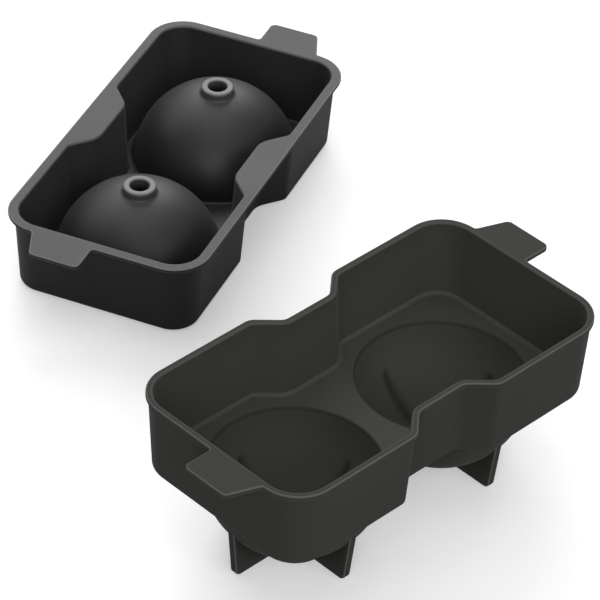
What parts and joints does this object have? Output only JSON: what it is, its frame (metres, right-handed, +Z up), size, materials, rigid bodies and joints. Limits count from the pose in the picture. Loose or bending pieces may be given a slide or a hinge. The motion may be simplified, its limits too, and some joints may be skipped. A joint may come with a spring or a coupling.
{
  "type": "sphere ice mould",
  "caption": "Flexible two-part mould for large round ice balls: a bowl tray on crossed fins, and a dome tray with filling nozzles that nests in it.",
  "frame": {"origin": "middle of the pair's bounding box, on the surface that both halves stand on", "axes": "+Z up, +X along the lower tray from its near end to its far end, +Y from the lower tray towards the upper tray"},
  "size_m": [0.2392, 0.2672, 0.0641],
  "materials": {
    "lower_tray": "matte",
    "upper_tray": "matte"
  },
  "bodies": {
    "root": {"lower_tray": "lower_tray", "upper_tray": "upper_tray"}
  },
  "joints": []
}
